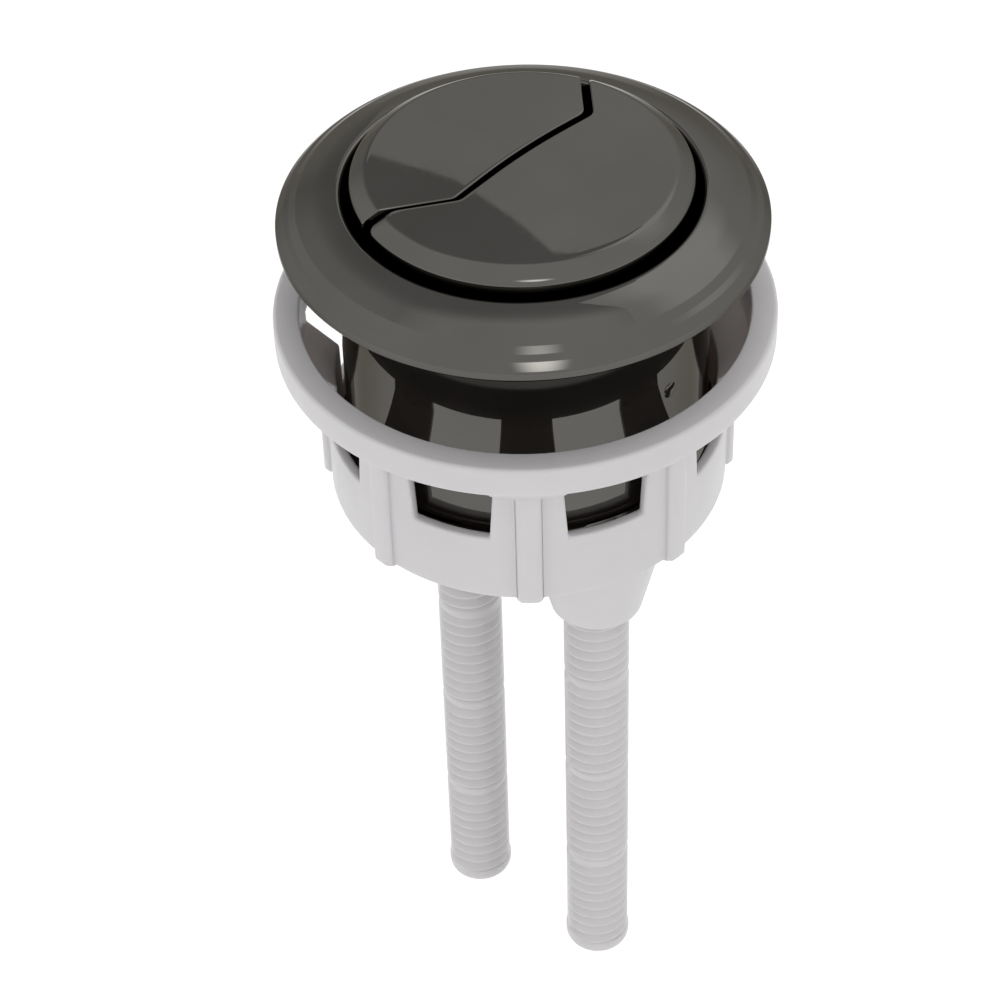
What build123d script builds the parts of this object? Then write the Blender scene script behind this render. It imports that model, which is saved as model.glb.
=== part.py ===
from build123d import *
import os
from math import atan2, cos, degrees, radians, sin, tan

# Dual flush push button for a cistern lid, in millimetres, +Z up.
# The origin is the centre of the bezel's seat on the lid, and +X runs from the
# half flush rod towards the full flush rod. Radii grow outwards from the rods.

# Fits between pieces
running_gap = 0.05        # a stem in its guide, a rod in its socket
seat_gap = 0.10           # a piece set into another that it moves with
thread_gap = 0.10         # crests of the barrel's thread inside the nut
stop_gap = 0.20           # a snap barb below the top of its slot
slot_gap = 0.30           # a snap barb beside the sides of its slot
rod_passage_gap = 0.25    # a rod through the foot of its guide
coil_gap = 0.50           # a spring round its guide
plug_gap = 0.57           # a spring inside the cap's plug
button_gap = 0.70         # the buttons inside the barrel
gusset_gap = 0.80         # a plunger's gussets inside its shell
stem_end_gap = 1.00       # a pressed stem above the end of its bore

# Threaded rods, drawn at their thread's crest
rod_radius = 5.5
rod_offset = 13.43        # rod axis from the part's axis
rod_top = -20.0
rod_foot = -154.3
rod_foot_chamfer = 1.4

# Stems of the plungers, their guides, and the springs round those
stem_wall = 1.65
guide_wall = 1.75
spring_wire = 1.2
spring_sleeve_sides = 16
spring_seat_overlap = 0.7

# Bezel and barrel, one plated moulding
barrel_wall = 1.9
barrel_length = 47.5
thread_depth = 1.2
thread_length = 11.9
bezel_overhang = 8.5
bezel_foot_chamfer = 0.5
bezel_band_height = 1.7
bezel_shoulder_inset = 1.4
bezel_shoulder_height = 3.05
bezel_dome_inset = 5.4
bezel_dome_height = 5.6
bezel_crown_height = 7.0
bezel_opening_step = 0.6
bezel_opening_depth = 3.2
seat_width = 1.6
flange_recess = 0.9
flange_cove = 2.5

# Buttons, two plated shells cut from one disc by a bent split
button_height = 10.4
button_chamfer_width = 2.5
button_chamfer_height = 1.7
button_skirt_foot = -3.0
button_wall = 1.8
button_face_wall = 2.0
button_split_chamfer = 0.3
button_corner_round = 1.8
button_travel = 8.0
full_near_knee = (-0.83, -11.9)   # corners of the full flush edge along the split, before its turn
full_middle = (-1.86, 2.9)
full_far_knee = (-0.75, 16.0)
half_near_knee = (-1.68, -12.2)   # corners of the half flush edge, which leave a gap of 0.5 to 1.2
half_middle = (-3.07, 2.8)
half_far_knee = (-1.99, 15.5)
split_bow_round = 100.0
split_turn = 5.0          # degrees off square to the line of the rods
split_near_bend = 33.0    # degrees at the knee towards -Y
split_far_bend = 47.0     # degrees at the knee towards +Y
split_knee_round = 2.0

# Plungers, which carry the buttons on their stems
plunger_plate = 2.0
socket_top = 1.0
spring_seat_height = -7.6
spring_seat_thickness = 1.6
gusset_thickness = 1.6
barb_width = 3.6
barb_height = 2.2
barb_reach = 1.3

# Guide cap, which closes the barrel and guides both stems
cap_flange = 1.8
cap_flange_inset = 0.9
cap_floor = 2.4
cap_plug_height = 8.0
cap_plug_wall = 1.2
cap_lug_height = 1.6
cap_lug_reach = 0.5
cap_lug_angle = 28.0
cap_lug_count = 4
cap_lug_rise = 3.6        # lug's middle above the barrel's end
guide_top = -28.0
guide_lip = 4.0           # snap barbs below the guide's top
boss_root_wall = 4.95
boss_foot_wall = 1.65
boss_shoulder = -62.0
boss_foot = -71.0
boss_foot_chamfer = 1.1

# Clamp nut, turned by hand under the lid
nut_wall = 1.7
nut_funnel_reach = 4.8
nut_cup_wall = 0.9
nut_rim_overhang = 3.1
nut_rim_top = -15.2
nut_rim_height = 5.2
nut_cup_foot = -22.8
nut_throat_height = -27.4
nut_foot = -47.7
nut_count = 8
nut_phase = -5.8          # degrees from +X to the first rib
nut_rib_width = 4.0
nut_rib_reach = 1.2
nut_rib_bevel = 0.7
nut_window_angle = 23.0   # at the sill
nut_window_draft = 3.9    # degrees, wider towards the head
nut_window_foot = -35.7
nut_window_web = 0.5      # cup left between a window and the rim
nut_window_round = 0.6
nut_closed_bay = 1        # the bay between two ribs that has no window

# Sizes that follow from those above
stem_radius = rod_radius + running_gap + stem_wall
guide_bore = stem_radius + running_gap
guide_radius = guide_bore + guide_wall
spring_bore = guide_radius + coil_gap
spring_radius = spring_bore + spring_wire
spring_seat_radius = spring_radius + spring_seat_overlap
plug_bore = rod_offset + spring_radius + plug_gap
plug_radius = plug_bore + cap_plug_wall
bore_radius = plug_radius + seat_gap
barrel_radius = bore_radius + barrel_wall
thread_radius = barrel_radius + thread_depth
bezel_radius = barrel_radius + bezel_overhang
button_radius = bore_radius - button_gap
button_face_radius = button_radius - button_chamfer_width
plate_top = button_height - button_face_wall
barb_top = guide_top - guide_lip
stem_foot = boss_shoulder + button_travel + stem_end_gap
cap_foot = -barrel_length - cap_flange
cap_floor_top = cap_foot + cap_floor
nut_bore = thread_radius + thread_gap
nut_wall_radius = nut_bore + nut_wall
nut_rim_bore = nut_bore + nut_funnel_reach
nut_cup_radius = nut_rim_bore + nut_cup_wall
nut_rim_radius = nut_cup_radius + nut_rim_overhang
nut_rim_foot = nut_rim_top - nut_rim_height
nut_window_head = nut_rim_foot - nut_window_web
funnel_turn = atan2(nut_funnel_reach, nut_cup_foot - nut_throat_height)
flare_top = nut_cup_foot - nut_cup_wall * tan(funnel_turn / 2)
flare_foot = flare_top - (nut_cup_radius - nut_wall_radius) / tan(funnel_turn)


def turned(points, angle=360):
    """Solid of revolution about Z from a closed (radius, height) outline."""
    outline = make_face(Polyline(*points, close=True))
    return revolve(Plane.XZ * outline, Axis.Z, angle)


def tube(inner, outer, low, high):
    """Plain ring about Z between two heights."""
    return turned([(inner, low), (outer, low), (outer, high), (inner, high)])


def post(radius, low, high):
    """Plain round post about Z between two heights."""
    return Pos(0, 0, low) * Cylinder(radius, high - low, align=(Align.CENTER, Align.CENTER, Align.MIN))


def block(x_low, x_high, y_low, y_high, low, high):
    """Box between two planes on each axis."""
    middle = Pos((x_low + x_high) / 2, (y_low + y_high) / 2, (low + high) / 2)
    return middle * Box(x_high - x_low, y_high - y_low, high - low)


def snap_lugs(grow):
    """Snap lugs of the cap inside the barrel's wall, grown on all sides for the pockets that take them."""
    middle = -barrel_length + cap_lug_rise
    half = cap_lug_height / 2 + grow
    outer = bore_radius + cap_lug_reach + grow
    points = [
        (plug_bore, middle - half),
        (outer, middle - half),
        (outer, middle + half - cap_lug_reach),
        (outer - cap_lug_reach, middle + half),
        (plug_bore, middle + half),
    ]
    angle = cap_lug_angle + 2 * degrees(grow / bore_radius)
    lug = turned(points, angle)
    step = 360 / cap_lug_count
    return [Rot(0, 0, (index + 0.5) * step - angle / 2) * lug for index in range(cap_lug_count)]


def bezel_barrel():
    """Flange that shows on the lid, and the barrel through it with a thread at its lower end."""
    seat_outer = bezel_radius - bezel_foot_chamfer
    seat_inner = seat_outer - seat_width
    thread_top = -barrel_length + thread_length
    moulding = turned(
        [
            (bore_radius, -barrel_length),
            (thread_radius, -barrel_length),
            (thread_radius, thread_top),
            (barrel_radius, thread_top + thread_depth),
            (barrel_radius, flange_recess - flange_cove),
            (barrel_radius + flange_cove, flange_recess),
            (seat_inner, flange_recess),
            (seat_inner, 0),
            (seat_outer, 0),
            (bezel_radius, bezel_foot_chamfer),
            (bezel_radius, bezel_band_height),
            (bezel_radius - bezel_shoulder_inset, bezel_shoulder_height),
            (bezel_radius - bezel_dome_inset, bezel_dome_height),
            (bore_radius + bezel_opening_step, bezel_crown_height),
            (bore_radius, bezel_crown_height - bezel_opening_depth),
        ]
    )
    return moulding - snap_lugs(seat_gap)


def split_side(near_knee, middle, far_knee):
    """Plan of everything on the half flush side of one edge of the split."""
    far = 3 * button_radius
    near_bend = radians(split_near_bend)
    far_bend = radians(split_far_bend)
    near_end = (near_knee[0] - far * sin(near_bend), near_knee[1] - far * cos(near_bend))
    far_end = (far_knee[0] - far * sin(far_bend), far_knee[1] + far * cos(far_bend))
    near_back = (-2 * far, near_end[1])
    far_back = (-2 * far, far_end[1])
    points = [near_back, near_end, near_knee, middle, far_knee, far_end, far_back]
    rounds = [0, 0, split_knee_round, split_bow_round, split_knee_round, 0, 0]
    side = make_face(FilletPolyline(*points, radius=rounds, close=True))
    return Rot(0, 0, -split_turn) * side


def button_plan(side):
    """Plan of one button: +1 for full flush, -1 for half flush."""
    disc = Circle(button_radius)
    if side < 0:
        return disc & split_side(half_near_knee, half_middle, half_far_knee)
    plan = disc - split_side(full_near_knee, full_middle, full_far_knee)
    corner = plan.vertices().sort_by(Axis.Y)[0]
    return fillet(corner, button_corner_round)


def on_rim(edge):
    """Whether a face edge runs round the button's rim and not along the split."""
    return edge.geom_type == GeomType.CIRCLE and edge.radius > button_face_radius / 2


def button_shell(plan):
    """Plated shell: chamfered at the rim, with eased edges at the split, open below."""
    puck = turned(
        [
            (0, button_skirt_foot),
            (button_radius, button_skirt_foot),
            (button_radius, button_height - button_chamfer_height),
            (button_face_radius, button_height),
            (0, button_height),
        ]
    )
    height = button_height - button_skirt_foot
    body = puck & extrude(Pos(0, 0, button_skirt_foot) * plan, height)
    face_edges = body.edges().filter_by_position(Axis.Z, button_height, button_height)
    split_edges = [edge for edge in face_edges if not on_rim(edge)]
    body = chamfer(split_edges, button_split_chamfer)
    cavity = extrude(
        Pos(0, 0, button_skirt_foot) * offset(plan, -button_wall),
        height - button_face_wall,
    )
    return body - cavity


def plunger(plan, side):
    """White carrier: plate inside the shell, gussets, spring seat, and a socketed stem with barbs."""
    plate_foot = plate_top - plunger_plate
    seat_top = spring_seat_height + spring_seat_thickness
    reach = button_radius - button_wall - gusset_gap - rod_offset
    half = gusset_thickness / 2
    stem = post(stem_radius, stem_foot, plate_foot)
    stem += post(spring_seat_radius, spring_seat_height, seat_top)
    stem += block(-half, half, -reach, reach, seat_top, plate_foot)
    stem += block(0, reach, -half, half, seat_top, plate_foot)
    for turn in (0, 180):
        barb = block(
            -barb_width / 2, barb_width / 2, 0, stem_radius + barb_reach, barb_top - barb_height, barb_top
        )
        stem += Rot(0, 0, turn) * barb
    stem -= post(rod_radius + running_gap, stem_foot, socket_top)
    plate = extrude(
        Pos(0, 0, plate_foot) * offset(plan, -button_wall - seat_gap),
        plunger_plate,
    )
    facing = 0 if side > 0 else 180
    return plate + Pos(side * rod_offset, 0, 0) * Rot(0, 0, facing) * stem


def rod(side):
    """Push rod drawn at its thread's crest, with a chamfered foot."""
    body = turned(
        [
            (0, rod_foot),
            (rod_radius - rod_foot_chamfer, rod_foot),
            (rod_radius, rod_foot + rod_foot_chamfer),
            (rod_radius, rod_top),
            (0, rod_top),
        ]
    )
    return Pos(side * rod_offset, 0, 0) * body


def spring(side):
    """Many-sided sleeve that a return spring's coil fills between the cap's floor and the plunger's seat."""
    outer = RegularPolygon(spring_radius, spring_sleeve_sides)
    inner = RegularPolygon(spring_bore, spring_sleeve_sides, major_radius=False)
    sleeve = extrude(outer - inner, spring_seat_height - cap_floor_top)
    return Pos(side * rod_offset, 0, cap_floor_top) * sleeve


def guide():
    """One guide of the cap, on its own axis: a tube above the floor and a tapered boss below it."""
    foot_radius = rod_radius + rod_passage_gap + boss_foot_wall
    return turned(
        [
            (0, boss_foot),
            (foot_radius - boss_foot_chamfer, boss_foot),
            (foot_radius, boss_foot + boss_foot_chamfer),
            (guide_bore + boss_root_wall, cap_foot),
            (guide_radius, cap_foot),
            (guide_radius, guide_top),
            (0, guide_top),
        ]
    )


def guide_bores():
    """What is cut from one guide: the stem's bore, the rod's passage and the barbs' slots."""
    slot_foot = barb_top - barb_height - button_travel - stop_gap
    slot_half = barb_width / 2 + slot_gap
    cuts = post(guide_bore, boss_shoulder, guide_top)
    cuts += post(rod_radius + rod_passage_gap, boss_foot, boss_shoulder)
    cuts += block(-slot_half, slot_half, -guide_radius, guide_radius, slot_foot, barb_top + stop_gap)
    return cuts


def guide_cap():
    """White plug in the barrel's lower end, held by snap lugs, with a guide for each stem."""
    plug_top = -barrel_length + cap_plug_height
    cap = post(thread_radius - cap_flange_inset, cap_foot, -barrel_length)
    cap += post(plug_radius, -barrel_length, cap_floor_top)
    cap += tube(plug_bore, plug_radius, cap_floor_top, plug_top)
    for lug in snap_lugs(0):
        cap += lug
    sides = [Pos(side * rod_offset, 0, 0) for side in (-1, 1)]
    for place in sides:
        cap += place * guide()
    for place in sides:
        cap -= place * guide_bores()
    return cap


def window_outline(radius):
    """Outline of a window on a plane at one radius: wider towards its head, rounded at its sill."""
    rise = (nut_window_head - nut_window_foot) * radius / nut_wall_radius
    foot_half = radius * tan(radians(nut_window_angle / 2))
    head_half = foot_half + rise * tan(radians(nut_window_draft))
    corners = [
        (-foot_half, nut_window_foot),
        (foot_half, nut_window_foot),
        (head_half, nut_window_head),
        (-head_half, nut_window_head),
    ]
    rounds = [nut_window_round, nut_window_round, 0, 0]
    return Plane.YZ.offset(radius) * make_face(FilletPolyline(*corners, radius=rounds, close=True))


def nut_window():
    """Cutter for one window, centred on +X, with jambs that point at the axis."""
    return loft([window_outline(bore_radius), window_outline(nut_rim_radius)])


def nut_rib():
    """One grip rib on +X, with bevelled outer edges, from the nut's foot into its flare."""
    reach = nut_wall_radius + nut_rib_reach
    half = nut_rib_width / 2
    rib = block(nut_bore + nut_wall / 2, reach, -half, half, nut_foot, flare_top)
    outer = rib.edges().filter_by(Axis.Z).sort_by(Axis.X)[-2:]
    return chamfer(outer, nut_rib_bevel)


def nut_throat():
    """Space inside the nut: the cup, the funnel below it and the bore round the barrel."""
    return turned(
        [
            (0, nut_rim_top),
            (nut_rim_bore, nut_rim_top),
            (nut_rim_bore, nut_cup_foot),
            (nut_bore, nut_throat_height),
            (nut_bore, nut_foot),
            (0, nut_foot),
        ]
    )


def clamp_nut():
    """Ribbed nut: clamping rim, cup, flare and wall in one section, with windows through all but the rim."""
    nut = turned(
        [
            (0, nut_rim_top),
            (nut_rim_radius, nut_rim_top),
            (nut_rim_radius, nut_rim_foot),
            (nut_cup_radius, nut_rim_foot),
            (nut_cup_radius, flare_top),
            (nut_wall_radius, flare_foot),
            (nut_wall_radius, nut_foot),
            (0, nut_foot),
        ]
    )
    rib = nut_rib()
    window = nut_window()
    step = 360 / nut_count
    for index in range(nut_count):
        nut += Rot(0, 0, nut_phase + index * step) * rib
    nut -= nut_throat()
    for index in range(nut_count):
        if index != nut_closed_bay:
            nut -= Rot(0, 0, nut_phase + (index + 0.5) * step) * window
    return nut


def export(shape, node):
    """Write one piece to its own file."""
    export_step(shape, f"parts/{node}.step")


os.makedirs("parts", exist_ok=True)
export(bezel_barrel(), "bezel_barrel")
export(guide_cap(), "guide_cap")
export(clamp_nut(), "clamp_nut")
for flush, flush_side in (("full_flush", 1), ("half_flush", -1)):
    flush_plan = button_plan(flush_side)
    export(button_shell(flush_plan), f"{flush}_button")
    export(plunger(flush_plan, flush_side), f"{flush}_plunger")
    export(rod(flush_side), f"{flush}_rod")
    export(spring(flush_side), f"{flush}_spring")
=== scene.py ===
from math import asin, atan, ceil, cos, pi, radians, sin, sqrt, tan, tau

import bmesh
import bpy
from mathutils import Matrix, Vector


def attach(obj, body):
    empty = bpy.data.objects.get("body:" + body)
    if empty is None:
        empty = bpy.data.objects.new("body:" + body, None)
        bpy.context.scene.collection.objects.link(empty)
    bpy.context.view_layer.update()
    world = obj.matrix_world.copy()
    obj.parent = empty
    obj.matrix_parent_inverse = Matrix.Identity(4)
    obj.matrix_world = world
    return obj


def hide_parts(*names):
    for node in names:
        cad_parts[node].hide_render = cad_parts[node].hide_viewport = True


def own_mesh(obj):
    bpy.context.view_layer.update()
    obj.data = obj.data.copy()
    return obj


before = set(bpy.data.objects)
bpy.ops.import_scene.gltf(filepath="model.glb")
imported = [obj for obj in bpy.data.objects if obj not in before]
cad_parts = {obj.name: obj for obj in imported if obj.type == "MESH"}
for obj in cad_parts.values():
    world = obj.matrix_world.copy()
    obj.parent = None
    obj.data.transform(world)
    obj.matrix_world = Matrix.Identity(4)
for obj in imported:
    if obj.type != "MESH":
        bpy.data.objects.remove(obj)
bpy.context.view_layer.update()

MM = 0.001

# Camera, as fitted to the photograph
CAMERA_PLACE = Vector((233.29, -282.35, 288.06)) * MM
CAMERA_HEADING = radians(40.3)
CAMERA_PITCH = radians(43.226)
CAMERA_ROLL = radians(-1.827)
CAMERA_LENS = 113.62
SENSOR_WIDTH = 36.0

# Stage
WORLD_LOW = 0.52
WORLD_HIGH = 0.42
FLOOR_DROP = 0.27
FLOOR_LIGHT = 0.4
FLOOR_SEEN = 0.72
FLOOR_SIZE = 12.0
CARD_DISTANCE = 1500.0
CARD_TURN = radians(130.0)
CARD_RISE = radians(38.0)
CARD_DARK = 0.5
GLOW = 5.0
CARD_FADES = (("X", -0.5, -1.7), ("Y", 0.95, 1.9), ("Y", -0.2, -1.2))

# Bezel and barrel, in millimetres as in all that follows
BORE = 26.0
BARREL = 27.9
BARREL_FOOT = -47.5
THREAD = 29.1
THREAD_TOP = -35.6
THREAD_FADE = 1.2
THREAD_PITCH = 3.0
BARREL_COVE = 2.5
PIP_TURN = radians(-1.7)
PIP_HEIGHT = -17.6
PIP_RADIUS = 1.3
PIP_REACH = 0.55
PIP_SUNK = 0.1
LUG_GROOVE = 26.6
LUG_RISE = 3.6
BEZEL = 36.4
CROWN = 7.0

# Buttons
BUTTON = 25.3
BUTTON_FACE = 22.8
BUTTON_TOP = 10.4
BUTTON_RIM_DROP = 1.7
BUTTON_FOOT = -3.0
BUTTON_WALL = 1.8
BUTTON_INSIDE = 8.4
SPLIT_EASE = 0.3
SPLIT_TURN = radians(-5.0)
SPLIT_KNEE_ROUND = 2.0
SPLIT_BOW_ROUND = 100.0
FULL_EDGE = (Vector((-0.83, -11.9)), Vector((-1.86, 2.9)), Vector((-0.75, 16.0)))
HALF_EDGE = (Vector((-1.68, -12.2)), Vector((-3.07, 2.8)), Vector((-1.99, 15.5)))
NEAR_BEND = radians(33.0)
FAR_BEND = radians(47.0)

# Rods
ROD_OFFSET = 13.43
ROD_CREST = 5.5
ROD_ROOT = 4.5
ROD_STRIP = 5.3
ROD_NECK = 5.14
ROD_TOP = -20.0
ROD_FOOT = -154.3
ROD_FOOT_ROUND = 1.8
ROD_THREAD_FOOT = -151.3
ROD_PITCH = 2.237
ROD_NECKS = (-130.0, -108.0, -86.0)
ROD_NECK_HALF = 0.95
ROD_STRIP_TURN = radians(40.0)
ROD_STRIP_HALF = radians(24.0)

# Springs
SPRING_RADIUS = 10.1
SPRING_WIRE = 1.2
SPRING_FOOT = -46.9
SPRING_TOP = -7.6
SPRING_TURNS = 12

# Clamp nut
NUT_BORE = 29.2
NUT_WALL = 30.9
NUT_RIB = 32.1
NUT_RIB_HALF = 2.0
NUT_RIB_BEVEL = 0.7
NUT_RIM_BORE = 34.0
NUT_CUP = 34.9
NUT_RIM = 37.98
NUT_RIM_TOP = -15.2
NUT_RIM_FOOT = -20.4
NUT_HEAD = -20.9
NUT_CUP_FOOT = -22.8
NUT_FLARE_TOP = -23.18
NUT_FLARE_FOOT = -27.02
NUT_THROAT = -27.4
NUT_SILL = -35.7
NUT_FOOT = -47.7
NUT_COUNT = 8
NUT_CLOSED_BAY = 1
NUT_PHASE = radians(-5.8)
NUT_WINDOW = radians(23.0)
NUT_DRAFT = radians(3.9)


def smooth_step(value, start, end):
    """0 before start, 1 after end, and a soft change between them."""
    share = min(max((value - start) / (end - start), 0.0), 1.0)
    return share * share * (3.0 - 2.0 * share)


def arc(before, corner, after, radius, steps):
    """Points of a round at a corner between two directions, and the round's centre."""
    first = (before - corner).normalized()
    second = (after - corner).normalized()
    half = first.angle(second) / 2
    middle = corner + (first + second).normalized() * (radius / sin(half))
    start = corner + first * (radius / tan(half)) - middle
    end = corner + second * (radius / tan(half)) - middle
    sweep = start.angle_signed(end)
    points = []
    for step in range(steps + 1):
        points.append(middle + Matrix.Rotation(-sweep * step / steps, 2) @ start)
    return points, middle


def rounded(points, steps=5):
    """Closed outline from (radius, height, round) corners."""
    outline = []
    corners = [Vector(point[:2]) for point in points]
    for index, point in enumerate(points):
        if point[2] == 0:
            outline.append(corners[index])
            continue
        after = corners[(index + 1) % len(points)]
        outline.extend(arc(corners[index - 1], corners[index], after, point[2], steps)[0])
    return outline


def make_piece(name, verts, faces, node, body, slot, sharp=40):
    """Mesh in millimetres made into a shown piece that stands for one node."""
    mesh = bpy.data.meshes.new(name)
    mesh.from_pydata([Vector(vert) * MM for vert in verts], [], faces)
    return finish_piece(name, mesh, node, body, slot, sharp)


def finish_piece(name, mesh, node, body, slot, sharp):
    """Cleaned mesh with smooth shading, its finish and its place in the frame."""
    work = bmesh.new()
    work.from_mesh(mesh)
    bmesh.ops.remove_doubles(work, verts=work.verts, dist=0.002 * MM)
    bmesh.ops.dissolve_degenerate(work, edges=work.edges, dist=0.002 * MM)
    loose = [vert for vert in work.verts if not vert.link_faces]
    bmesh.ops.delete(work, geom=loose, context="VERTS")
    bmesh.ops.recalc_face_normals(work, faces=work.faces)
    work.to_mesh(mesh)
    work.free()
    mesh.polygons.foreach_set("use_smooth", [True] * len(mesh.polygons))
    mesh.set_sharp_from_angle(angle=radians(sharp))
    piece = bpy.data.objects.new(name, mesh)
    bpy.context.scene.collection.objects.link(piece)
    mesh.materials.append(FINISHES[slot])
    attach(piece, body)
    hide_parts(node)
    return piece


def ring_faces(count, rows):
    """Quads between closed loops of points, each loop after the last."""
    faces = []
    for row in range(rows - 1):
        for step in range(count):
            after = (step + 1) % count
            faces.append((row * count + step, row * count + after, row * count + count + after, row * count + count + step))
    return faces


def new_material(name):
    """Empty node material with a Principled shader on its output."""
    material = bpy.data.materials.new(name)
    material.use_nodes = True
    nodes = material.node_tree.nodes
    nodes.clear()
    output = nodes.new("ShaderNodeOutputMaterial")
    shader = nodes.new("ShaderNodeBsdfPrincipled")
    material.node_tree.links.new(shader.outputs["BSDF"], output.inputs["Surface"])
    return material, shader


def add_noise(material, scale, detail, stretch=(1, 1, 1)):
    """Noise texture fixed to the piece."""
    nodes = material.node_tree.nodes
    links = material.node_tree.links
    place = nodes.new("ShaderNodeTexCoord")
    mapping = nodes.new("ShaderNodeMapping")
    mapping.inputs["Scale"].default_value = stretch
    noise = nodes.new("ShaderNodeTexNoise")
    noise.inputs["Scale"].default_value = scale
    noise.inputs["Detail"].default_value = detail
    links.new(place.outputs["Object"], mapping.inputs["Vector"])
    links.new(mapping.outputs["Vector"], noise.inputs["Vector"])
    return noise


def add_colours(material, shader, noise, dark, light):
    """Base colour that wanders between two close tones."""
    ramp = material.node_tree.nodes.new("ShaderNodeValToRGB")
    ramp.color_ramp.elements[0].position = 0.3
    ramp.color_ramp.elements[1].position = 0.7
    ramp.color_ramp.elements[0].color = (*dark, 1)
    ramp.color_ramp.elements[1].color = (*light, 1)
    material.node_tree.links.new(noise.outputs["Fac"], ramp.inputs["Fac"])
    material.node_tree.links.new(ramp.outputs["Color"], shader.inputs["Base Color"])


def add_range(material, noise, socket, low, high):
    """Noise drives one value of the shader."""
    span = material.node_tree.nodes.new("ShaderNodeMapRange")
    span.inputs["From Min"].default_value = 0.3
    span.inputs["From Max"].default_value = 0.7
    span.inputs["To Min"].default_value = low
    span.inputs["To Max"].default_value = high
    material.node_tree.links.new(noise.outputs["Fac"], span.inputs["Value"])
    material.node_tree.links.new(span.outputs["Result"], socket)


def add_bump(material, shader, noise, strength, distance):
    """Fine relief of the surface."""
    bump = material.node_tree.nodes.new("ShaderNodeBump")
    bump.inputs["Strength"].default_value = strength
    bump.inputs["Distance"].default_value = distance
    material.node_tree.links.new(noise.outputs["Fac"], bump.inputs["Height"])
    material.node_tree.links.new(bump.outputs["Normal"], shader.inputs["Normal"])


def plating(name, dark, light):
    """Polished dark plating: faint flow of the moulding below it, haze and fine wear."""
    material, shader = new_material(name)
    shader.inputs["Metallic"].default_value = 1.0
    shader.inputs["Specular Tint"].default_value = (0.45, 0.44, 0.42, 1)
    add_colours(material, shader, add_noise(material, 60, 3), dark, light)
    add_range(material, add_noise(material, 900, 4), shader.inputs["Roughness"], 0.012, 0.03)
    add_bump(material, shader, add_noise(material, 45, 2), 0.02, 0.0004)
    return material


def plastic(name, dark, light, rough, grain):
    """Satin white moulding with a fine grain."""
    material, shader = new_material(name)
    shader.inputs["IOR"].default_value = 1.49
    shader.inputs["Subsurface Weight"].default_value = 0.15
    shader.inputs["Subsurface Radius"].default_value = (0.004, 0.0032, 0.0028)
    shader.inputs["Subsurface Scale"].default_value = 1.0
    add_colours(material, shader, add_noise(material, 140, 4), dark, light)
    add_range(material, add_noise(material, 700, 3), shader.inputs["Roughness"], rough - 0.06, rough + 0.06)
    add_bump(material, shader, add_noise(material, 900, 2), grain, 0.00006)
    return material


def steel():
    """Drawn spring wire."""
    material, shader = new_material("spring_steel")
    shader.inputs["Metallic"].default_value = 1.0
    add_colours(material, shader, add_noise(material, 500, 3), (0.42, 0.41, 0.4), (0.55, 0.54, 0.53))
    add_range(material, add_noise(material, 1500, 3), shader.inputs["Roughness"], 0.22, 0.36)
    return material


def bezel_outline():
    """Section of the bezel and its barrel, from the barrel's foot round the outside and back down the bore."""
    lower = [Vector((THREAD - 0.7, BARREL_FOOT))]
    height = BARREL_FOOT + 0.6
    while height < THREAD_TOP - 0.05:
        lower.append(Vector((THREAD, height)))
        height += 0.25
    upper = rounded(
        [
            (BARREL + 0.1, THREAD_TOP, 0.2),
            (BARREL, THREAD_TOP + 0.4, 0.2),
            (BARREL, 0.9, BARREL_COVE),
            (34.3, 0.9, 0.25),
            (34.3, 0.0, 0.15),
            (36.0, 0.0, 0.3),
            (BEZEL, 0.55, 0.35),
            (BEZEL, 1.75, 0.7),
            (35.25, 2.92, 1.0),
            (34.35, 3.44, 1.2),
            (33.3, 4.3, 1.0),
            (30.0, 5.92, 14.0),
            (26.55, CROWN, 0.8),
            (BORE, CROWN - 3.2, 2.0),
            (BORE, BARREL_FOOT + LUG_RISE + 1.0, 0),
            (LUG_GROOVE, BARREL_FOOT + LUG_RISE + 0.5, 0),
            (LUG_GROOVE, BARREL_FOOT + LUG_RISE - 0.9, 0),
            (BORE, BARREL_FOOT + LUG_RISE - 0.9, 0),
            (BORE, BARREL_FOOT, 0.2),
            (THREAD - 0.7, BARREL_FOOT, 0),
        ],
        6,
    )
    return lower[1:] + upper


def thread_cut(radius, height, turn):
    """Radius of the barrel's outside with its thread, which runs out at its top."""
    low = BARREL_FOOT + 0.55
    if radius < THREAD - 0.01 or not low < height < THREAD_TOP - 0.05:
        return radius
    phase = (height / THREAD_PITCH - turn / tau) % 1.0
    ridge = smooth_step(phase, 0.12, 0.36) - smooth_step(phase, 0.62, 0.86)
    fade = 1.0 - smooth_step(height, THREAD_TOP - THREAD_FADE, THREAD_TOP - 0.1)
    return BARREL + 0.1 + (radius - BARREL - 0.1) * ridge * fade


def add_pip(verts, faces):
    """Small moulding pip on the barrel's side, a low dome with its base sunk in the wall."""
    outward = Vector((cos(PIP_TURN), sin(PIP_TURN), 0))
    across = Vector((-sin(PIP_TURN), cos(PIP_TURN), 0))
    start = len(verts)
    levels, count = 8, 32
    for level in range(levels):
        tilt = pi / 2 * level / levels
        radius = PIP_RADIUS * cos(tilt)
        centre = outward * (BARREL - PIP_SUNK + PIP_REACH * sin(tilt)) + Vector((0, 0, PIP_HEIGHT))
        for step in range(count):
            turn = tau * step / count
            verts.append(centre + across * (radius * cos(turn)) + Vector((0, 0, radius * sin(turn))))
    for level in range(levels - 1):
        for step in range(count):
            low = start + level * count
            after = (step + 1) % count
            faces.append((low + step, low + after, low + count + after, low + count + step))
    top = len(verts)
    verts.append(outward * (BARREL - PIP_SUNK + PIP_REACH) + Vector((0, 0, PIP_HEIGHT)))
    for step in range(count):
        faces.append((top - count + step, top - count + (step + 1) % count, top))
    faces.append(tuple(start + step for step in reversed(range(count))))


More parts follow.
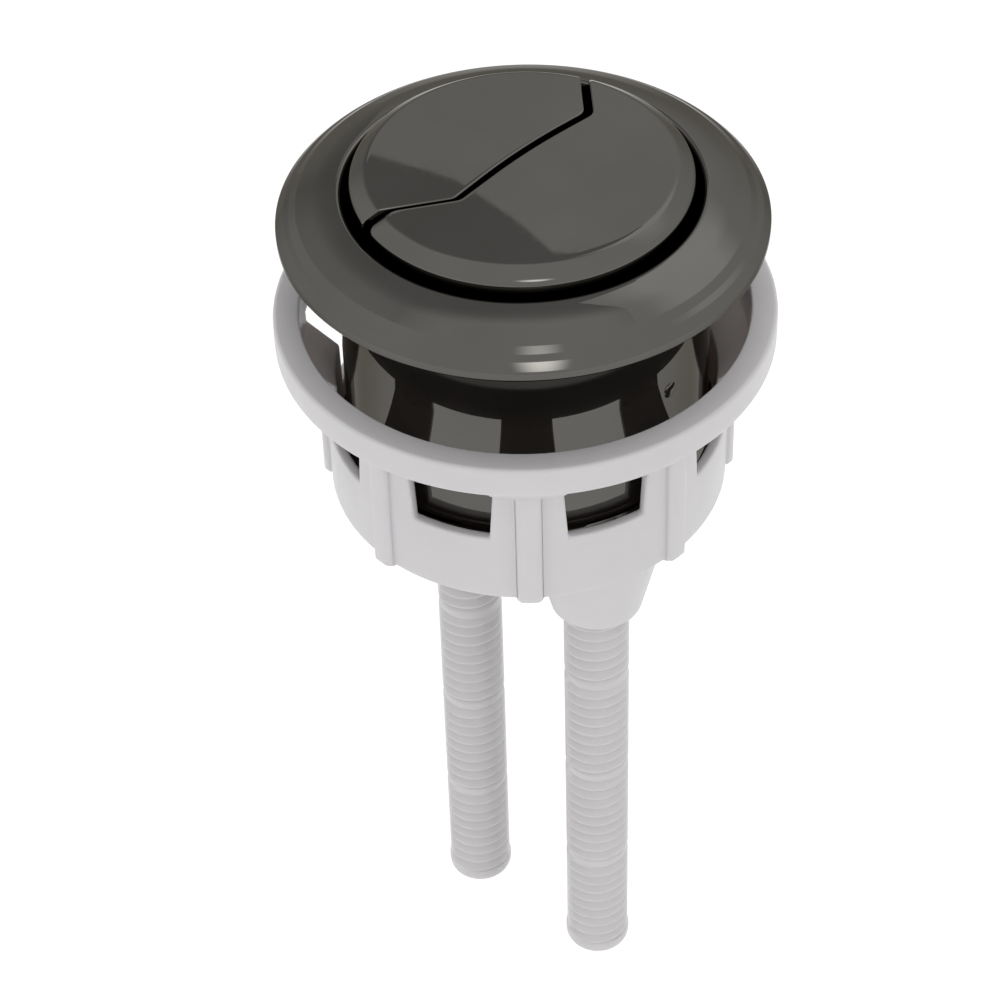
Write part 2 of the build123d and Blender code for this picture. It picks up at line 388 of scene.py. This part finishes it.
def build_bezel():
    """Bezel and barrel, turned, with the thread at the lower end."""
    outline = bezel_outline()
    count = 256
    verts = []
    for point in outline:
        for step in range(count):
            turn = tau * step / count
            radius = thread_cut(point.x, point.y, turn)
            verts.append((radius * cos(turn), radius * sin(turn), point.y))
    faces = ring_faces(count, len(outline))
    last = (len(outline) - 1) * count
    for step in range(count):
        after = (step + 1) % count
        faces.append((last + step, last + after, after, step))
    add_pip(verts, faces)
    make_piece("bezel_barrel_turned", verts, faces, "bezel_barrel", "housing", "black_plating")


def split_line(corners):
    """Points along one edge of the split with the direction square to it, from the near leg to the far leg."""
    near_end = corners[0] - Vector((sin(NEAR_BEND), cos(NEAR_BEND))) * 30
    far_end = corners[2] + Vector((-sin(FAR_BEND), cos(FAR_BEND))) * 30
    path = [near_end, *corners, far_end]
    rounds = [0, SPLIT_KNEE_ROUND, SPLIT_BOW_ROUND, SPLIT_KNEE_ROUND, 0]
    line = []
    spin = Matrix.Rotation(SPLIT_TURN, 2)
    for index in (1, 2, 3):
        points, middle = arc(path[index - 1], path[index], path[index + 1], rounds[index], 10)
        for point in points:
            square = (point - middle).normalized()
            if square.x < 0:
                square = -square
            line.append((spin @ point, spin @ square))
    return line


def leg_corner(point, square, outward, radius, inset, side, ease):
    """Round between a straight leg of the split and the rim: its centre and its ends on the leg and the rim."""
    start = point + square * side * (inset + ease)
    along = start.dot(outward)
    reach = sqrt(along * along - start.length_squared + (radius - ease) ** 2) - along
    middle = start + outward * reach
    return middle, middle - square * side * ease, middle * (radius / (radius - ease))


def button_loop(line, radius, inset, side, near_ease, far_ease):
    """Plan of one button at one height, anticlockwise; inset is how far its split edge is set back."""
    ends = []
    for index, ease, back in ((0, near_ease, 1), (-1, far_ease, -2)):
        point, square = line[index]
        outward = Vector((-square.y, square.x))
        if outward.dot(point - line[back][0]) < 0:
            outward = -outward
        ends.append(leg_corner(point, square, outward, radius, inset, side, ease))
    first, second = (ends[0], ends[1]) if side > 0 else (ends[1], ends[0])
    start = atan2_of(first[2])
    sweep = (atan2_of(second[2]) - start) % tau
    loop = []
    for step in range(97):
        turn = start + sweep * step / 96
        loop.append(Vector((cos(turn), sin(turn))) * radius)
    loop.extend(corner_points(second[0], second[2], second[1])[1:])
    samples = [point + square * side * inset for point, square in line]
    loop.extend(reversed(samples) if side > 0 else samples)
    loop.extend(corner_points(first[0], first[1], first[2])[:-1])
    return loop


def atan2_of(point):
    """Angle of a plan point about the axis."""
    return Vector((1, 0)).angle_signed(point) * -1


def corner_points(middle, start, end):
    """Points of a round from one end to the other."""
    first = start - middle
    sweep = first.angle_signed(end - middle)
    return [middle + Matrix.Rotation(-sweep * step / 6, 2) @ first for step in range(7)]


def split_ease(height):
    """How far the split's edge is eased back at one height."""
    rise = height - (BUTTON_TOP - SPLIT_EASE)
    if rise <= 0:
        return 0.0
    return SPLIT_EASE - sqrt(max(SPLIT_EASE ** 2 - rise ** 2, 0.0))


def build_button(flush, side):
    """Plated shell with a soft rim, eased split edges, and its hollow."""
    line = split_line(FULL_EDGE if side > 0 else HALF_EDGE)
    section = rounded(
        [
            (0, BUTTON_FOOT, 0),
            (BUTTON, BUTTON_FOOT, 0.3),
            (BUTTON, BUTTON_TOP - BUTTON_RIM_DROP, 1.3),
            (BUTTON_FACE, BUTTON_TOP, 1.6),
            (0, BUTTON_TOP, 0),
        ],
        7,
    )[1:-1]
    near_ease = 1.8 if side > 0 else 0.5
    loops = []
    inner = BUTTON - BUTTON_WALL
    for radius, height in ((inner, BUTTON_INSIDE), (inner, BUTTON_FOOT)):
        loops.append((radius, BUTTON_WALL, 0.3, 0.3, height))
    for point in section:
        eased = split_ease(point.y)
        loops.append((point.x, eased, max(near_ease - eased, 0.2), max(0.5 - eased, 0.2), point.y))
    loops.append((section[-1].x - 0.3, SPLIT_EASE + 0.3, near_ease, 0.3, BUTTON_TOP))
    verts = []
    for radius, inset, near, far, height in loops:
        loop = button_loop(line, radius, inset, side, near, far)
        verts.extend((point.x, point.y, height) for point in loop)
    count = len(verts) // len(loops)
    faces = ring_faces(count, len(loops))
    faces.append(tuple(range(count)))
    faces.append(tuple(range(len(verts) - count, len(verts))))
    make_piece(f"{flush}_button_shell", verts, faces, f"{flush}_button", flush, "button_plating")


def rod_surface(share, turn, height):
    """Radius of a rod's thread: plain strips along two sides, and necks where it may be cut."""
    away = abs((turn - ROD_STRIP_TURN + pi / 2) % pi - pi / 2)
    strip = 1.0 - smooth_step(away, ROD_STRIP_HALF - radians(5), ROD_STRIP_HALF + radians(5))
    radius = ROD_ROOT + (ROD_CREST - ROD_ROOT) * share
    radius += (ROD_STRIP - radius) * strip
    for neck in ROD_NECKS:
        near = 1.0 - smooth_step(abs(height - neck), ROD_NECK_HALF - 0.35, ROD_NECK_HALF + 0.25)
        radius += (ROD_NECK - radius) * near
    plain = 1.0 - smooth_step(height, ROD_THREAD_FOOT, ROD_THREAD_FOOT + 0.5)
    return radius + (ROD_CREST - radius) * plain


def build_rod(flush, side):
    """Threaded push rod on a grid that follows the thread, with a rounded foot."""
    count = 72
    levels = ((0.0, 0.0), (0.14, 0.0), (0.25, 0.04), (0.3, 0.45), (0.335, 0.93), (0.36, 1.0), (0.48, 1.0))
    levels += ((0.53, 0.92), (0.67, 0.62), (0.82, 0.3), (0.93, 0.08))
    turns = ceil((ROD_TOP - ROD_THREAD_FOOT) / ROD_PITCH) + 1
    rows = turns * len(levels)
    verts = []
    for row in range(rows):
        whole, index = divmod(row, len(levels))
        for step in range(count):
            turn = tau * step / count
            height = ROD_THREAD_FOOT + ROD_PITCH * (whole - 1 + levels[index][0] + step / count)
            height = min(max(height, ROD_THREAD_FOOT), ROD_TOP)
            radius = rod_surface(levels[index][1], turn, height)
            if height == ROD_TOP:
                radius = ROD_ROOT
            verts.append((radius * cos(turn), radius * sin(turn), height))
    faces = []
    for row in range(rows - 1):
        for step in range(count - 1):
            start = row * count + step
            faces.append((start, start + 1, start + count + 1, start + count))
    seam = len(levels)
    for row in range(rows - 1 - seam):
        last = row * count + count - 1
        first = (row + seam) * count
        faces.append((last, first, first + count, last + count))
    base = len(verts)
    foot = arc(Vector((0, ROD_FOOT)), Vector((ROD_CREST, ROD_FOOT)), Vector((ROD_CREST, -100)), ROD_FOOT_ROUND, 7)[0]
    foot.append(Vector((ROD_CREST, ROD_THREAD_FOOT)))
    for point in foot:
        for step in range(count):
            turn = tau * step / count
            verts.append((point.x * cos(turn), point.x * sin(turn), point.y))
    faces.extend(tuple(base + index for index in face) for face in ring_faces(count, len(foot)))
    faces.append(tuple(range(base, base + count)))
    top = len(verts)
    for step in range(count):
        turn = tau * step / count
        verts.append((ROD_ROOT * cos(turn), ROD_ROOT * sin(turn), ROD_TOP))
    faces.append(tuple(range(top, top + count)))
    verts = [(x + side * ROD_OFFSET, y, z) for x, y, z in verts]
    make_piece(f"{flush}_rod_threaded", verts, faces, f"{flush}_rod", f"{flush}_rod", "rod_plastic", 60)


def build_spring(flush, side):
    """Coil with closed ends, on a mesh of its own."""
    steps = 28
    sides = 10
    total = SPRING_TURNS * steps
    verts = []
    for step in range(total + 1):
        turns = step / steps
        spread = (turns - 1) / (SPRING_TURNS - 2)
        low = SPRING_FOOT + SPRING_WIRE / 2
        high = SPRING_TOP - SPRING_WIRE / 2
        if turns < 1:
            height = low + SPRING_WIRE * turns
        elif turns > SPRING_TURNS - 1:
            height = high - SPRING_WIRE * (SPRING_TURNS - turns)
        else:
            height = low + SPRING_WIRE + (high - low - 2 * SPRING_WIRE) * spread
        for corner in range(sides):
            angle = tau * corner / sides
            radius = SPRING_RADIUS + SPRING_WIRE / 2 * cos(angle)
            turn = tau * turns
            level = height + SPRING_WIRE / 2 * sin(angle)
            verts.append((side * ROD_OFFSET + radius * cos(turn), radius * sin(turn), level))
    faces = ring_faces(sides, total + 1)
    faces.append(tuple(range(sides)))
    faces.append(tuple(range(len(verts) - sides, len(verts))))
    piece = make_piece(f"{flush}_spring_coil", verts, faces, f"{flush}_spring", "housing", "spring_steel")
    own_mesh(piece)


def window_half(height):
    """Half angle of a window at one height."""
    rise = min(max(height, NUT_SILL), NUT_HEAD) - NUT_SILL
    return atan(tan(NUT_WINDOW / 2) + rise / NUT_WALL * tan(NUT_DRAFT))


def nut_columns():
    """One eighth of the nut as columns: (kind, angle at the rib or share of the window, rib radius)."""
    base = asin(NUT_RIB_HALF / NUT_WALL)
    side = asin(NUT_RIB_HALF / (NUT_RIB - NUT_RIB_BEVEL))
    top = asin((NUT_RIB_HALF - NUT_RIB_BEVEL) / NUT_RIB)
    spread = (base + top) / 2
    columns = [("rib", 0, 0, NUT_RIB), ("rib", top, top, NUT_RIB)]
    columns.append(("rib", side, spread, NUT_RIB - NUT_RIB_BEVEL))
    columns.append(("rib", base, base, NUT_WALL))
    columns.append(("wall", 0.5, 0, 0))
    for step in range(13):
        columns.append(("window", step / 6 - 1, 0, 0))
    columns.append(("wall", -0.5, 0, 0))
    columns.append(("rib", -base, -base, NUT_WALL))
    columns.append(("rib", -side, -spread, NUT_RIB - NUT_RIB_BEVEL))
    columns.append(("rib", -top, -top, NUT_RIB))
    return columns


def nut_rows():
    """Section of the nut: named corners in order, from the foot of the bore round the outside and back."""
    rim = rounded(
        [
            (NUT_CUP, NUT_RIM_FOOT, 0),
            (NUT_RIM, NUT_RIM_FOOT, 0.7),
            (NUT_RIM, NUT_RIM_TOP, 0.7),
            (NUT_RIM_BORE, NUT_RIM_TOP, 0.35),
            (NUT_RIM_BORE, NUT_HEAD, 0),
        ]
    )[:-1]
    rows = [
        ("foot", NUT_BORE, NUT_FOOT),
        ("rib", NUT_WALL, NUT_FOOT),
        ("rib", NUT_WALL, NUT_SILL),
        ("rib", NUT_WALL, NUT_FLARE_FOOT),
        ("flare", NUT_CUP, NUT_FLARE_TOP),
        ("head", NUT_CUP, NUT_HEAD),
    ]
    rows.extend(("rim", point.x, point.y) for point in rim)
    rows.append(("head", NUT_RIM_BORE, NUT_HEAD))
    rows.append(("cup", NUT_RIM_BORE, NUT_CUP_FOOT))
    rows.append(("throat", NUT_BORE, NUT_THROAT))
    rows.append(("sill", NUT_BORE, NUT_SILL))
    return rows


def nut_point(row, column, sector):
    """Place of one point of the nut."""
    kind, radius, height = row
    eighth = tau / NUT_COUNT
    base = asin(NUT_RIB_HALF / NUT_WALL)
    if column[0] == "window":
        angle = eighth / 2 + column[1] * window_half(height)
    elif column[0] == "wall":
        angle = (base + eighth / 2 - window_half(height)) / 2
        if column[1] < 0:
            angle = -angle
    elif kind == "rib":
        angle = column[1]
        if height > NUT_SILL:
            height += (column[3] - radius) * (NUT_FLARE_TOP - NUT_FLARE_FOOT) / (NUT_CUP - NUT_WALL)
        radius = column[3]
    else:
        angle = column[2]
    if column[0] != "window" and column[1] < 0:
        angle += eighth
    angle += NUT_PHASE + sector * eighth
    return (radius * cos(angle), radius * sin(angle), height)


def build_nut():
    """Clamp nut as a grid round its section, open at the windows, with its edges softened."""
    columns = nut_columns()
    rows = nut_rows()
    width = len(columns) * NUT_COUNT
    verts = []
    for row in rows:
        for sector in range(NUT_COUNT):
            verts.extend(nut_point(row, column, sector) for column in columns)
    last = len(rows) - 1
    pairs = ((2, last), (3, last - 1), (4, last - 2), (5, last - 3))
    open_rows = {2, 3, 4, last - 3, last - 2, last - 1}
    faces = []
    for row in range(len(rows)):
        below = (row + 1) % len(rows)
        for column in range(width):
            after = (column + 1) % width
            start = columns[column % len(columns)]
            end = columns[after % len(columns)]
            in_window = start[0] == "window" and end[0] == "window"
            in_window = in_window and column // len(columns) != NUT_CLOSED_BAY
            if in_window and row in open_rows:
                continue
            faces.append((row * width + column, row * width + after, below * width + after, below * width + column))
    for column in range(width):
        start = columns[column % len(columns)]
        if start[0] != "window" or column // len(columns) == NUT_CLOSED_BAY:
            continue
        if start[1] < 1:
            for outer, inner in (pairs[0], pairs[3]):
                faces.append(
                    (outer * width + column, outer * width + column + 1, inner * width + column + 1, inner * width + column)
                )
        if abs(start[1]) == 1:
            for low, high in zip(pairs, pairs[1:]):
                faces.append(
                    (low[0] * width + column, high[0] * width + column, high[1] * width + column, low[1] * width + column)
                )
    mesh = bpy.data.meshes.new("clamp_nut_moulded")
    mesh.from_pydata([Vector(vert) * MM for vert in verts], [], faces)
    soften(mesh)
    finish_piece("clamp_nut_moulded", mesh, "clamp_nut", "nut", "nut_plastic", 50)


def soften(mesh):
    """Small rounds along the sharp edges of a moulding."""
    work = bmesh.new()
    work.from_mesh(mesh)
    bmesh.ops.delete(work, geom=[vert for vert in work.verts if not vert.link_faces], context="VERTS")
    bmesh.ops.recalc_face_normals(work, faces=work.faces)
    weight = work.edges.layers.float.new("bevel_weight_edge")
    for edge in work.edges:
        middle = (edge.verts[0].co + edge.verts[1].co) / 2 / MM
        if edge.calc_face_angle(0) < radians(28):
            continue
        if middle.z > NUT_RIM_FOOT + 0.05:
            continue
        edge[weight] = 0.45 if middle.z > NUT_HEAD - 0.1 else 1.0
    work.to_mesh(mesh)
    work.free()
    holder = bpy.data.objects.new("softened", mesh)
    bpy.context.scene.collection.objects.link(holder)
    bevel = holder.modifiers.new("soft", "BEVEL")
    bevel.limit_method = "WEIGHT"
    bevel.width = 0.42 * MM
    bevel.segments = 3
    bevel.use_clamp_overlap = False
    graph = bpy.context.evaluated_depsgraph_get()
    softened = bpy.data.meshes.new_from_object(holder.evaluated_get(graph))
    work = bmesh.new()
    work.from_mesh(softened)
    work.to_mesh(mesh)
    work.free()
    bpy.data.objects.remove(holder)
    bpy.data.meshes.remove(softened)


def place_camera():
    """Camera at the photograph's place and angle."""
    data = bpy.data.cameras.new("camera")
    data.lens = CAMERA_LENS
    data.sensor_width = SENSOR_WIDTH
    data.clip_start = 0.01
    camera = bpy.data.objects.new("camera", data)
    turn = Matrix.Rotation(CAMERA_HEADING, 4, "Z")
    tip = Matrix.Rotation(pi / 2 - CAMERA_PITCH, 4, "X")
    roll = Matrix.Rotation(CAMERA_ROLL, 4, "Z")
    camera.matrix_world = Matrix.Translation(CAMERA_PLACE) @ turn @ tip @ roll
    bpy.context.scene.collection.objects.link(camera)
    bpy.context.scene.camera = camera


def seen_share(tree):
    """1 for what the camera sees straight, mirrored or through something, 0 for what only lights."""
    path = tree.nodes.new("ShaderNodeLightPath")
    mirrored = tree.nodes.new("ShaderNodeMath")
    through = tree.nodes.new("ShaderNodeMath")
    through.use_clamp = True
    tree.links.new(path.outputs["Is Camera Ray"], mirrored.inputs[0])
    tree.links.new(path.outputs["Is Glossy Ray"], mirrored.inputs[1])
    tree.links.new(mirrored.outputs["Value"], through.inputs[0])
    tree.links.new(path.outputs["Is Transmission Ray"], through.inputs[1])
    return through.outputs["Value"]


def light_world():
    """Even white surroundings for what is seen, and a little less for what they light."""
    world = bpy.data.worlds.new("studio")
    bpy.context.scene.world = world
    world.use_nodes = True
    nodes = world.node_tree.nodes
    links = world.node_tree.links
    nodes.clear()
    output = nodes.new("ShaderNodeOutputWorld")
    mix = nodes.new("ShaderNodeMixShader")
    fill = nodes.new("ShaderNodeBackground")
    white = nodes.new("ShaderNodeBackground")
    place = nodes.new("ShaderNodeTexCoord")
    parts = nodes.new("ShaderNodeSeparateXYZ")
    rise = nodes.new("ShaderNodeMapRange")
    rise.inputs["From Min"].default_value = 0.0
    rise.inputs["From Max"].default_value = 1.0
    rise.inputs["To Min"].default_value = WORLD_LOW
    rise.inputs["To Max"].default_value = WORLD_HIGH
    links.new(place.outputs["Generated"], parts.inputs["Vector"])
    links.new(parts.outputs["Z"], rise.inputs["Value"])
    links.new(rise.outputs["Result"], fill.inputs["Strength"])
    fill.inputs["Color"].default_value = (1, 1, 1, 1)
    white.inputs["Color"].default_value = (1, 1, 1, 1)
    white.inputs["Strength"].default_value = 1.0
    links.new(seen_share(world.node_tree), mix.inputs["Fac"])
    links.new(fill.outputs["Background"], mix.inputs[1])
    links.new(white.outputs["Background"], mix.inputs[2])
    links.new(mix.outputs["Shader"], output.inputs["Surface"])


def stage_material(name, colour, strength):
    """Surface that shines evenly."""
    material = bpy.data.materials.new(name)
    material.use_nodes = True
    nodes = material.node_tree.nodes
    nodes.clear()
    output = nodes.new("ShaderNodeOutputMaterial")
    glow = nodes.new("ShaderNodeEmission")
    glow.inputs["Color"].default_value = (*colour, 1)
    glow.inputs["Strength"].default_value = strength
    material.node_tree.links.new(glow.outputs["Emission"], output.inputs["Surface"])
    return material, glow, output


def stage_card(name, corners, turn, rise, distance, material):
    """Flat card that faces the object; corners in millimetres to its right and up, as the object sees it."""
    facing = Vector((cos(rise) * cos(turn), cos(rise) * sin(turn), sin(rise)))
    right = Vector((sin(turn), -cos(turn), 0))
    up = right.cross(facing)
    mesh = bpy.data.meshes.new(name)
    mesh.from_pydata([(x * MM, y * MM, 0) for x, y in corners], [], [tuple(range(len(corners)))])
    card = bpy.data.objects.new(name, mesh)
    card.matrix_world = Matrix.Translation(facing * distance * MM) @ Matrix((right, up, -facing)).transposed().to_4x4()
    card.visible_camera = False
    bpy.context.scene.collection.objects.link(card)
    mesh.materials.append(material)


def oblong(width, height):
    """Corners of a card from half its width and half its height."""
    return [(-width, -height), (width, -height), (width, height), (-width, height)]


def card_material():
    """Dark card that fades to white towards its left, its top and its foot."""
    material, glow, output = stage_material("dark_card", (1, 1, 1), 1.0)
    nodes = material.node_tree.nodes
    links = material.node_tree.links
    place = nodes.new("ShaderNodeTexCoord")
    parts = nodes.new("ShaderNodeSeparateXYZ")
    links.new(place.outputs["Object"], parts.inputs["Vector"])
    shade = None
    for axis, start, end in CARD_FADES:
        span = nodes.new("ShaderNodeMapRange")
        span.interpolation_type = "SMOOTHSTEP"
        span.inputs["From Min"].default_value = start
        span.inputs["From Max"].default_value = end
        span.inputs["To Min"].default_value = CARD_DARK
        span.inputs["To Max"].default_value = 1.0
        links.new(parts.outputs[axis], span.inputs["Value"])
        before, shade = shade, span.outputs["Result"]
        if before is not None:
            most = nodes.new("ShaderNodeMath")
            most.operation = "MAXIMUM"
            links.new(before, most.inputs[0])
            links.new(shade, most.inputs[1])
            shade = most.outputs["Value"]
    links.new(shade, glow.inputs["Strength"])
    return material


def glow_material(name, width, height, start, peak):
    """Soft glow that fades into the white round it."""
    material, glow, output = stage_material(name, (1, 1, 1), 1.0)
    nodes = material.node_tree.nodes
    links = material.node_tree.links
    place = nodes.new("ShaderNodeTexCoord")
    scaled = nodes.new("ShaderNodeVectorMath")
    scaled.operation = "MULTIPLY"
    scaled.inputs[1].default_value = (1 / width, 1 / height, 0)
    length = nodes.new("ShaderNodeVectorMath")
    length.operation = "LENGTH"
    span = nodes.new("ShaderNodeMapRange")
    span.interpolation_type = "SMOOTHSTEP"
    span.inputs["From Min"].default_value = start
    span.inputs["From Max"].default_value = 1.0
    span.inputs["To Min"].default_value = peak
    span.inputs["To Max"].default_value = 1.0
    links.new(place.outputs["Object"], scaled.inputs[0])
    links.new(scaled.outputs["Vector"], length.inputs[0])
    links.new(length.outputs["Value"], span.inputs["Value"])
    links.new(span.outputs["Result"], glow.inputs["Strength"])
    return material


def build_stage():
    """Pale floor that is clear from below, a dark card and two soft panels."""
    mesh = bpy.data.meshes.new("floor")
    half = FLOOR_SIZE / 2
    corners = [(-half, -half), (half, -half), (half, half), (-half, half)]
    mesh.from_pydata([(x, y, -FLOOR_DROP) for x, y in corners], [], [(0, 1, 2, 3)])
    floor = bpy.data.objects.new("floor", mesh)
    bpy.context.scene.collection.objects.link(floor)
    material, glow, output = stage_material("floor", (1, 1, 1), 1.0)
    nodes = material.node_tree.nodes
    links = material.node_tree.links
    pale = nodes.new("ShaderNodeBsdfDiffuse")
    pale.inputs["Color"].default_value = (0.5, 0.5, 0.5, 1)
    both = nodes.new("ShaderNodeAddShader")
    shine = nodes.new("ShaderNodeMapRange")
    shine.inputs["To Min"].default_value = FLOOR_LIGHT
    shine.inputs["To Max"].default_value = FLOOR_SEEN
    links.new(seen_share(material.node_tree), shine.inputs["Value"])
    links.new(shine.outputs["Result"], glow.inputs["Strength"])
    links.new(glow.outputs["Emission"], both.inputs[0])
    links.new(pale.outputs["BSDF"], both.inputs[1])
    side = nodes.new("ShaderNodeNewGeometry")
    clear = nodes.new("ShaderNodeBsdfTransparent")
    either = nodes.new("ShaderNodeMixShader")
    links.new(side.outputs["Backfacing"], either.inputs["Fac"])
    links.new(both.outputs["Shader"], either.inputs[1])
    links.new(clear.outputs["BSDF"], either.inputs[2])
    links.new(either.outputs["Shader"], output.inputs["Surface"])
    mesh.materials.append(material)
    outline = [(-1800, -1500), (-330, -1500), (-400, -107), (-87, -24), (-33, -6), (2, 18), (27, 41), (55, 43), (324, 303), (440, 700), (610, 1070)]
    outline += [(1300, 1300), (1300, 2000), (-1800, 2000)]
    stage_card("dark_card", outline, CARD_TURN, CARD_RISE, CARD_DISTANCE, card_material())
    bright = glow_material("bright_panel", 0.9, 0.6, 0.45, 1.45)
    stage_card("bright_panel", oblong(900, 600), radians(84), radians(50), 1650, bright)
    front = glow_material("front_glow", 0.24, 0.36, 0.1, GLOW)
    stage_card("front_glow", oblong(240, 360), radians(-43), radians(50), 1200, front)


def add_lamp(name, place, width, height, power):
    """Soft lamp aimed at the object."""
    data = bpy.data.lights.new(name, "AREA")
    data.shape = "RECTANGLE"
    data.size = width
    data.size_y = height
    data.energy = power
    lamp = bpy.data.objects.new(name, data)
    lamp.location = place
    aim = Vector((0, 0, -0.05)) - Vector(place)
    lamp.rotation_euler = aim.to_track_quat("-Z", "Y").to_euler()
    lamp.visible_glossy = False
    bpy.context.scene.collection.objects.link(lamp)


FINISHES = {
    "black_plating": plating("black_plating", (0.106, 0.102, 0.095), (0.118, 0.114, 0.107)),
    "button_plating": plating("button_plating", (0.106, 0.102, 0.095), (0.118, 0.114, 0.107)),
    "white_plastic": plastic("white_plastic", (0.645, 0.63, 0.64), (0.66, 0.645, 0.655), 0.4, 0.06),
    "nut_plastic": plastic("nut_plastic", (0.645, 0.63, 0.64), (0.66, 0.645, 0.655), 0.38, 0.06),
    "rod_plastic": plastic("rod_plastic", (0.615, 0.6, 0.605), (0.63, 0.615, 0.62), 0.38, 0.05),
    "spring_steel": steel(),
}

for node in ("guide_cap", "full_flush_plunger", "half_flush_plunger"):
    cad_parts[node].data.materials.clear()
    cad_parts[node].data.materials.append(FINISHES["white_plastic"])

build_bezel()
build_nut()
for flush, side in (("full_flush", 1), ("half_flush", -1)):
    build_button(flush, side)
    build_rod(flush, side)
    build_spring(flush, side)

place_camera()
light_world()
build_stage()
add_lamp("left_key", (-0.35, -1.31, 0.2), 0.8, 0.6, 4.2)
add_lamp("right_key", (1.35, 0.12, 0.2), 0.8, 0.6, 3.5)

bpy.context.scene.view_settings.view_transform = "Standard"
